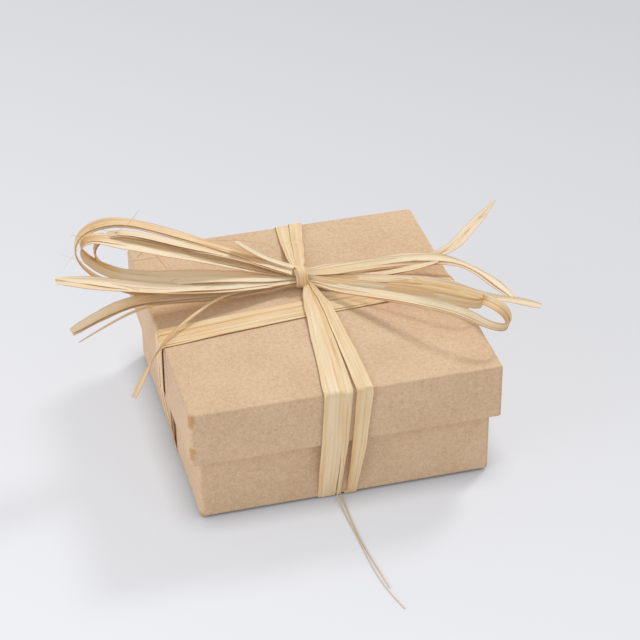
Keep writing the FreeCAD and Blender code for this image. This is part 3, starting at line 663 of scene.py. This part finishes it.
rim = lidLow.z
wallOut = lidHigh.x + 0.4 * mm      # strips stand this far out, on the lid's walls
foot = baseHigh.x + 0.3 * mm        # and this far out at the foot of the base
topZ = 37.4                         # where a strip turns from the lid's top to its wall, in mm
dropZ = 37                          # from there to the foot of the base
frontStrips = {
    # run: (y, x, width) in mm from the knot to the lid's front edge; foot: x and width at the foot
    "front_strip_left": {
        "run": [(8.6, 1.7, 1.2), (2.0, .7, 2.6), (-4.3, .15, 3.8), (-20, -1.1, 5.0), (-44.9, -4.1, 5.7)],
        "foot": (-5.9, 5.7), "lift": .22, "plies": 3, "tone": .22, "seed": 3,
    },
    "front_strip_middle": {
        "run": [(8.4, 2.4, .7), (2.0, 2.7, 1.2), (-7.3, 2.55, 1.6), (-23, 2.0, 1.9), (-44.9, -.1, 2.5)],
        "foot": (-2.4, 1.2), "lift": 0, "plies": 2, "tone": .40, "seed": 5,
    },
    "front_strip_right": {
        "run": [(8.4, 2.9, 1.0), (2.6, 4.4, 2.0), (-3.7, 5.0, 2.9), (-15.6, 5.1, 3.7), (-27, 5.05, 4.4),
                (-44.9, 4.6, 5.0)],
        "foot": (1.4, 3.5), "lift": .26, "plies": 3, "tone": .33, "seed": 7,
    },
}
backStrips = {
    "back_strip_left": {
        "run": [(13.0, .1, 1.8), (20, .8, 2.6), (30, 2.0, 3.2), (44.9, 3.5, 3.8)],
        "foot": (3.9, 3.4), "lift": 0, "plies": 3, "tone": .38, "seed": 11,
    },
    "back_strip_right": {
        "run": [(13.0, 1.4, 1.8), (20, 3.0, 2.6), (30, 5.0, 3.2), (44.9, 7.6, 3.8)],
        "foot": (7.6, 3.6), "lift": .2, "plies": 3, "tone": .22, "seed": 13,
    },
}
# y and z of the turn over the knot, then the heights of the strips along y, in mm
overKnot = [(8.0, 38.5), (7.25, 40.2), (8.1, 42.5), (10.4, 43.3), (12.6, 42.7)]
frontRise = [(-44.9, 37.5), (-20, 37.42), (-12, 37.5), (-7.6, 38.0), (2.8, 38.1), (5.6, 38.5), (8.6, 39.5)]
backRise = [(13.0, 41.9), (18, 40.4), (24, 39.0), (30, 37.9), (36, 37.42), (44.9, 37.5)]


def alongWall(top, bottom, z):
    # how far along a wall a slanting strip is at that height, in mm
    return top + (bottom - top) * (topZ - z) / dropZ


def stripOver(strip, side):
    # from the knot over the lid and down to its rim; side is -1 in front, 1 behind
    run, lift = strip["run"], strip["lift"]
    edge = side * (wallOut / mm + lift)
    rise = frontRise if side < 0 else backRise
    acrossKeys = sorted((y, x) for y, x, width in run)
    stops = [run[0][0] + side * step for step in (0, 3, 6, 10, 15, 22)] + [edge * .72, edge - side * 1.9]
    points = [Vector((run[0][1] * .6 + .3, y, z)) for y, z in overKnot] if side > 0 else []
    points += [Vector((between(acrossKeys, y), y, between(rise, y) + lift)) for y in stops]
    wall = [(edge, 37.5 + lift), (edge, 35.8), (edge, 29.5), (edge, 22.0), (edge - side * .05, rim / mm - .6)]
    points += [Vector((alongWall(run[-1][1], strip["foot"][0], z), y, z)) for y, z in wall]
    return [point * mm for point in points]


def stripLeg(first, last, flat):
    # from the lid's rim in to the foot of the base; first and last are the places along the wall in mm
    places = [(wallOut, rim + 0.0004), (wallOut - 0.0001, rim - 0.0012), ((wallOut + foot) / 2, rim / 2),
              (foot + 0.00012, 0.0032), (foot - 0.0003, 0.0006)]
    points = []
    for out, z in places:
        along = first + (last - first) * (rim - z) / rim
        points.append(flat(out, along * mm, z))
    return points


def addStrip(name, body, points, spec, node):
    line = smoothLine(points, 10)
    ribbon = ribbonMesh(name, line, spec)
    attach(ribbon, body)
    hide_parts(node)
    return ribbon, lineLength(line)


stripSpec = {
    "pleat": .06, "curl": .02, "ripple": .05, "ragged": .35, "stray": .03, "stack": .10, "overlap": 1.5,
    "variety": .09, "outline": .55, "twist": .05, "thick": .12, "step": .0012, "cells": 8,
}
knotTurn = 9        # mm that a back strip runs over the knot first
wallRun = 17        # mm that a strip runs down the lid's wall
for group, side in ((frontStrips, -1), (backStrips, 1)):
    for nodeName, strip in group.items():
        run, tone, lift = strip["run"], strip["tone"], strip["lift"] * mm
        wide, (footX, low) = run[-1][2], strip["foot"]
        turned = knotTurn if side > 0 else 0
        reach = abs(run[0][0] - run[-1][0]) + wallRun + turned
        widths = [((abs(run[0][0] - y) + turned) / reach, width) for y, x, width in run]
        # Painted shade: the tone is darker near the knot, where the bow shades the strips, and down the walls
        # and legs.
        spec = dict(stripSpec, across=[(0, (side, 0, 0))], plies=strip["plies"], seed=strip["seed"],
                    width=widths + [(1, (wide + low) / 2)],
                    tone=[(0, tone + .15), (.3, tone), (.74, tone), (.8, tone + .08), (1, tone + .08)])
        ribbon, length = addStrip(nodeName + "_ribbon", "tie", stripOver(strip, side), spec, nodeName)
        points = stripLeg(alongWall(run[-1][1], footX, rim / mm), footX,
                          lambda out, along, z: Vector((along, side * (out + lift * z / rim), z)))
        legSpec = dict(spec, width=[(0, (wide + low) / 2), (.5, low), (1, low * .88)],
                       tone=[(0, tone + .08), (1, tone + .12)], start=length)
        leg = addStrip(nodeName + "_leg", "tie", points, legSpec, nodeName)[0]
        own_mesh(leg)

crossStrips = {
    # y at the left foot, left edge, middle, right edge and right foot, and the widths there, in mm
    "cross_strip_wide": {"y": (-8.4, -7.6, -3.2, -1.2, -2.0), "width": (4.6, 6.2, 5.7, 5.2, 4.8), "plies": 2,
                         "tone": .44, "seed": 17},
    "cross_strip_narrow": {"y": (-4.0, -2.5, 1.35, 3.0, 2.2), "width": (2.4, 3.0, 2.4, 2.4, 2.2), "plies": 1,
                           "tone": .36, "seed": 19},
}
for nodeName, strip in crossStrips.items():
    leftFoot, leftEdge, middle, rightEdge, rightFoot = strip["y"]
    edge, tone = wallOut / mm, strip["tone"]
    leftRim = alongWall(leftEdge, leftFoot, rim / mm)
    rightRim = alongWall(rightEdge, rightFoot, rim / mm)
    places = [
        (-edge + .05, leftRim, rim / mm - .6), (-edge, leftRim, 22),
        (-edge, leftEdge * .6 + leftRim * .4, 29.5),
        (-edge, leftEdge, 35.8), (-edge, leftEdge, 37.42), (-edge + 1.9, leftEdge, 37.36),
        (-30, leftEdge * .66 + middle * .34, 37.46), (-14, leftEdge * .3 + middle * .7, 37.46),
        (0, middle, 37.40),
        (14, middle * .7 + rightEdge * .3, 37.46), (30, middle * .34 + rightEdge * .66, 37.46),
        (edge - 1.9, rightEdge, 37.40), (edge, rightEdge, 37.42), (edge, rightEdge, 35.8),
        (edge, rightEdge * .6 + rightRim * .4, 29.5),
        (edge, rightRim, 22), (edge - .05, rightRim, rim / mm - .6)]
    # Painted shade: tones are darker down the walls and on the legs; the wide strip's darker, more orange
    # tone is partly its own colour and partly painted shade from the bow above it.
    spec = dict(stripSpec, across=[(0, (0, -1, 0))], plies=strip["plies"], seed=strip["seed"],
                stack=.12, pleat=.04, outline=1,
                width=list(zip((0, .14, .5, .86, 1), strip["width"])),
                tone=[(0, tone + .15), (.14, tone + .05), (.5, tone), (1, tone + .1)])
    line = [Vector(place) * mm for place in places]
    ribbon, length = addStrip(nodeName + "_ribbon", "tie", line, spec, nodeName)
    legs = [(-1, "_leg_left", leftRim, leftFoot, strip["width"][0], 0),
            (1, "_leg_right", rightRim, rightFoot, strip["width"][-1], length)]
    for side, end, rimY, footY, low, start in legs:
        points = stripLeg(rimY, footY, lambda out, along, z: Vector((side * out, along, z)))
        legSpec = dict(spec, width=[(0, low), (1, low * .85)], tone=[(0, tone + .1)], start=start)
        leg = addStrip(nodeName + end, "tie", points, legSpec, nodeName)[0]
        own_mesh(leg)
print("strips made")

underStrips = {
    # ends in front and behind, or left and right, the width, the height and the direction, in mm
    "under_strip_left": {"ends": (-5.9, 3.9), "width": (4.4, 2.8), "z": .15, "way": "y", "seed": 23},
    "under_strip_right": {"ends": (1.0, 7.6), "width": (3.4, 3.0), "z": .15, "way": "y", "seed": 29},
    "under_cross_wide": {"ends": (-8.4, -2.0), "width": (5.0, 4.2), "z": .44, "way": "x", "seed": 31},
    "under_cross_narrow": {"ends": (-4.0, 2.2), "width": (2.0, 1.8), "z": .44, "way": "x", "seed": 37},
}
for nodeName, strip in underStrips.items():
    first, last = strip["ends"]
    edge, low = foot / mm, strip["z"]
    places = []
    for run, z in ((-edge, 1.5), (-edge - .05, low + .35), (-edge + 1.5, low), (-20, low), (0, low),
                   (20, low), (edge - 1.5, low), (edge + .05, low + .35), (edge, 1.5)):
        aside = first + (last - first) * (run + edge) / (2 * edge)
        places.append(Vector((aside, run, z) if strip["way"] == "y" else (run, aside, z)) * mm)
    spec = dict(stripSpec, across=[(0, (1, 0, 0) if strip["way"] == "y" else (0, -1, 0))], plies=2,
                seed=strip["seed"], stack=.03, pleat=.02, thick=.08, curl=0, ripple=.02,
                width=list(zip((0, 1), strip["width"])), tone=[(0, .35)])
    addStrip(nodeName + "_ribbon", "base", places, spec, nodeName)
print("strips under the base made")


padLook = {
    # inset, soften, voxel and lumps in mm; cap is how far, in mm, the swelling may carry a point
    "inset": (1.6, 1.6, 1.4), "soften": 3.0, "voxel": 4.5, "pressure": 4, "frames": 20, "cap": 5.0,
    # pullIn: sides between the corners; the top is this share of its height at the rim, and rises inwards
    "pullIn": 0.035, "rimHeight": 0.74, "crownRise": 0.20, "crownSlope": 3.2,
    "lumps": 0.9, "lumpScale": 95, "lumpSeed": 0.057,
}


def buildPad(look=padLook):
    # a crowned cotton pad, swelled as cloth and kept inside its place in the base
    low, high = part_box("fibre_pad")
    middle, size = (low + high) / 2, high - low
    bm = bmesh.new()
    bmesh.ops.create_cube(bm, size=1)
    inner = [side - 2 * inset * mm for side, inset in zip(size, look["inset"])]
    bmesh.ops.scale(bm, vec=inner, verts=bm.verts)
    bmesh.ops.bevel(bm, geom=bm.edges[:], offset=look["soften"] * mm, affect="EDGES", segments=3, profile=0.5,
                    material=-1, clamp_overlap=True)
    bmesh.ops.translate(bm, vec=middle, verts=bm.verts)
    mesh = bpy.data.meshes.new("fibre_pad_cotton")
    bm.to_mesh(mesh)
    bm.free()
    pad = addObject("fibre_pad_cotton", mesh)
    voxels = pad.modifiers.new("voxels", "REMESH")
    voxels.mode = "VOXEL"
    voxels.voxel_size = look["voxel"] * mm
    settle(pad)
    before = [vertex.co.copy() for vertex in pad.data.vertices]
    cloth = pad.modifiers.new("cloth", "CLOTH")
    cloth.settings.use_pressure = True
    cloth.settings.uniform_pressure_force = look["pressure"]
    cloth.settings.effector_weights.gravity = 0
    for step in range(1, look["frames"] + 1):
        scene.frame_set(step)
    settle(pad)
    scene.frame_set(1)
    for vertex, start in zip(pad.data.vertices, before):
        moved = vertex.co - start
        if moved.length > look["cap"] * mm:
            vertex.co = start + moved.normalized() * look["cap"] * mm
    finer = pad.modifiers.new("finer", "SUBSURF")
    finer.levels = finer.render_levels = 2
    settle(pad)
    half = size / 2
    for vertex in pad.data.vertices:
        spot = vertex.co - middle
        # sides pull in between the corners, the top is crowned and lumpy, the underside lies flat
        inward = [1 - abs(spot[axis]) / half[axis] for axis in (0, 1)]
        for axis, other in ((0, 1), (1, 0)):
            spot[axis] *= 1 - look["pullIn"] * max(0, 1 - (spot[other] / half[other]) ** 2)
        crown = math.prod(min(1, max(0, share) * look["crownSlope"]) for share in inward)
        if spot.z > 0:
            spot.z *= look["rimHeight"] + look["crownRise"] * crown
            lump = noise.noise(Vector((spot.x, spot.y, look["lumpSeed"])) * look["lumpScale"])
            spot.z += look["lumps"] * mm * lump * (spot.z / half.z)
        vertex.co = middle + Vector([min(max(value, -limit), limit) for value, limit in zip(spot, half)])
    pad.data.materials.clear()
    pad.data.materials.append(cottonMaterial())
    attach(pad, "pad")
    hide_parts("fibre_pad")
    return pad


buildPad()
print("fibre pad made")


knotWraps = {
    # place along x, radii across and up, lean and width in mm, then the first and last angle in degrees
    "main": {"x": 0.0, "radii": (2.45, 2.55), "lean": 0.35, "width": 3.1, "angles": (200, 560), "plies": 4},
    "over": {"x": 0.5, "radii": (2.62, 2.72), "lean": -0.9, "width": 1.7, "angles": (190, 520), "plies": 2},
}
knotSpec = {"across": [(0, (1, 0, 0))], "pleat": .10, "curl": .12, "twist": .1, "step": .0005, "cells": 5,
            "tone": [(0, .2), (.3, -.12), (.6, -.2), (1, .1)]}
knotSteps = 18      # straight stretches in each turn of the knot


def buildKnot():
    bm = bmesh.new()
    layers = strandLayers(bm)
    dice = random.Random(41)
    for wrap in knotWraps.values():
        points = []
        first, last = wrap["angles"]
        across, rise = wrap["radii"]
        for step in range(knotSteps + 1):
            angle = math.radians(first + (last - first) * step / knotSteps)
            swell = 1 + 0.03 * math.sin(3 * angle)
            lean = wrap["lean"] * (2 * step / knotSteps - 1)
            offset = Vector((wrap["x"] + lean, across * swell * math.sin(angle),
                             rise * swell * math.cos(angle)))
            points.append(knotMiddle + offset * mm)
        at, total = lineWalker(smoothLine(points, 8))
        wide = wrap["width"]
        spec = dict(knotSpec, width=[(0, wide * .8), (.45, wide), (1, wide * .8)])
        for number in range(wrap["plies"]):
            addPly(bm, layers, at, total, spec, {
                "span": (0, 1), "share": 1.45 / wrap["plies"],
                "offset": ((number + .5) / wrap["plies"] - .5) * .9,
                "lift": dice.uniform(-.08, .16) * mm, "tone": dice.uniform(-.1, .14),
                "pleats": dice.choice((1, 1.5)), "phase": dice.uniform(0, 2), "seed": dice.uniform(1, 90),
                "tip": [(0, 1), (1, 1)]})
    return ribbonFromMesh("raffia_knot_wrap", bm, 0.14)


knotWrap = buildKnot()
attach(knotWrap, "tie")
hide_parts("raffia_knot")
print("knot made")


looseHairs = [
    # (points in mm, width in mm, tone)
    ([(-50, 9, 47.4), (-58.2, 10, 53.2), (-63.6, 10, 57.4), (-68.4, 10, 60.0)], .22, .5),
    ([(-46.4, 14, 53.0), (-43.6, 14, 55.3), (-41.3, 14, 53.6), (-39.8, 14, 50.3), (-37.9, 14, 47.6)], .2, .5),
    ([(-49.3, 12, 53.2), (-42.9, 12, 53.0), (-35.4, 12, 53.4), (-27.0, 13, 52.6)], .22, .4),
    ([(-25.6, 14, 54.8), (-19.7, 14, 54.3), (-15.3, 14, 53.3), (-8.2, 14, 51.1), (-5.0, 14, 47.8),
      (-2.7, 13, 43.3)], .2, .4),
    ([(31.0, 3, 40.5), (34.6, -6, 42.0), (38.0, -8, 42.6), (39.2, -4, 43.0), (41.0, 0, 43.2)], .2, .5),
]


hairLook = {"count": 26, "seed": 43, "reach": (5, 13), "bend": (0.15, 0.5), "width": (.12, .2),
            "tone": (.2, .6)}


def strayHairs(dice, look=hairLook):
    # short fibres that have split away from the strands of the bow
    hairs = []
    names = [name for name in bowStrands if "loop" in name or "tail" in name]
    for number in range(look["count"]):
        route = fromKnot(bowStrands[dice.choice(names)]["route"])
        place = dice.randrange(2, len(route) - 2)
        start = route[place].lerp(route[place + 1], dice.random())
        way = (route[place + 1] - route[place]).normalized() * dice.choice((-1, 1))
        aside = Vector((dice.uniform(-1, 1), dice.uniform(-1, 1), dice.uniform(-0.2, 1))).normalized()
        reach = dice.uniform(*look["reach"]) * mm
        bend = dice.uniform(*look["bend"])
        points = [start + way * reach * share + aside * reach * bend * share ** 1.8
                  for share in (0, .3, .6, 1)]
        hairs.append((points, dice.uniform(*look["width"]), dice.uniform(*look["tone"])))
    return hairs


def buildHairs():
    bm = bmesh.new()
    layers = strandLayers(bm)
    dice = random.Random(hairLook["seed"])
    hairs = [([Vector(point) * mm for point in points], width, tone) for points, width, tone in looseHairs]
    for points, width, tone in hairs + strayHairs(dice):
        at, total = lineWalker(smoothLine(points, 8))
        spec = {"across": [(0, (.2, .7, .7))], "width": [(0, width), (1, width * .7)], "pleat": 0, "curl": .3,
                "cells": 2, "step": .0016, "twist": .6, "tone": [(0, tone)]}
        addPly(bm, layers, at, total, spec, {
            "span": (0, 1), "share": 1, "offset": 0, "lift": 0, "tone": 0, "pleats": 1, "phase": 0,
            "seed": dice.uniform(1, 90), "tip": [(0, 1), (1, .3)]})
    return ribbonFromMesh("raffia_hairs", bm, 0.10)


hairs = buildHairs()
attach(hairs, "tie")
print("hairs made")


stageLook = {
    # the floor's colours, its light, the reach of its contact shade in metres and its fall-off per metre
    "floor": (0.30, 0.305, 0.321), "glow": (0.955, 0.965, 1.0), "glowStrength": 0.634, "floorSize": 6,
    "contact": 0.009, "fallStart": 0.787, "fallBack": -0.74, "fallRight": -0.85,
    # the camera's lens and sensor in mm, its place and its axes
    "lens": 121.3, "sensor": 36, "clip": (0.01, 30), "eye": (-0.1280, -0.5035, 0.3784),
    "right": (0.966, -0.2583, -0.0081), "upwards": (0.1498, 0.5342, 0.832), "back": (-0.2106, -0.805, 0.5547),
    "room": (1.0, 0.965, 0.935), "roomStrength": 0.62,
}


def buildStage(look=stageLook):
    bm = bmesh.new()
    bmesh.ops.create_grid(bm, x_segments=8, y_segments=8, size=look["floorSize"])
    mesh = bpy.data.meshes.new("paleFloor")
    bm.to_mesh(mesh)
    bm.free()
    floor = addObject("paleFloor", mesh)
    material, make = newMaterial("paleFloor")
    # the light falls off a little towards the back and the right
    place = make("ShaderNodeSeparateXYZ", Vector=make("ShaderNodeTexCoord").outputs["Object"])
    fall = calculate(make, "MULTIPLY_ADD", place.outputs["Y"], look["fallBack"], look["fallStart"])
    fall = calculate(make, "MULTIPLY_ADD", place.outputs["X"], look["fallRight"], fall)
    shade = ramp(make, fall, [(0.12, 0.12), (1.0, 1.0)])
    contact = make("ShaderNodeAmbientOcclusion", {"samples": 8}, Distance=look["contact"]).outputs["AO"]
    shade = calculate(make, "MULTIPLY", shade, contact)
    glow = calculate(make, "MULTIPLY", shade, look["glowStrength"])
    shader = make("ShaderNodeBsdfPrincipled", Base_Color=(*look["floor"], 1), Roughness=0.6,
                  Specular_IOR_Level=0.1, Emission_Color=(*look["glow"], 1), Emission_Strength=glow)
    make("ShaderNodeOutputMaterial", Surface=shader.outputs[0])
    mesh.materials.append(material)
    lens = bpy.data.cameras.new("mainView")
    lens.lens = look["lens"]
    lens.sensor_width = look["sensor"]
    lens.clip_start, lens.clip_end = look["clip"]
    camera = addObject("mainView", lens)
    columns = [Vector(look[name]).normalized() for name in ("right", "upwards", "back")]
    camera.matrix_world = Matrix.Translation(look["eye"]) @ Matrix(columns).transposed().to_4x4()
    scene.camera = camera
    world = bpy.data.worlds.new("softRoom")
    world.use_nodes = True
    background = world.node_tree.nodes["Background"]
    background.inputs["Color"].default_value = (*look["room"], 1)
    background.inputs["Strength"].default_value = look["roomStrength"]
    scene.world = world


softLights = [
    # name, place and size in metres, watts, colour
    ("keyBehind", (1.02, 0.80, 1.26), 0.42, 17.5, (0.97, 0.985, 1.0)),
    ("fillLeft", (-1.7, -0.6, 0.6), 1.2, 11, (0.86, 0.89, 1.0)),
]


def buildLights():
    for name, place, size, watts, colour in softLights:
        lamp = bpy.data.lights.new(name, "AREA")
        lamp.shape = "DISK"
        lamp.size = size
        lamp.energy = watts
        lamp.color = colour
        light = addObject(name, lamp)
        light.location = place
        light.rotation_euler = (Vector(place) - Vector((0, 0, 0.02))).to_track_quat("Z", "Y").to_euler()


scene.view_settings.view_transform = "Standard"
buildStage()
buildLights()
print("stage set")
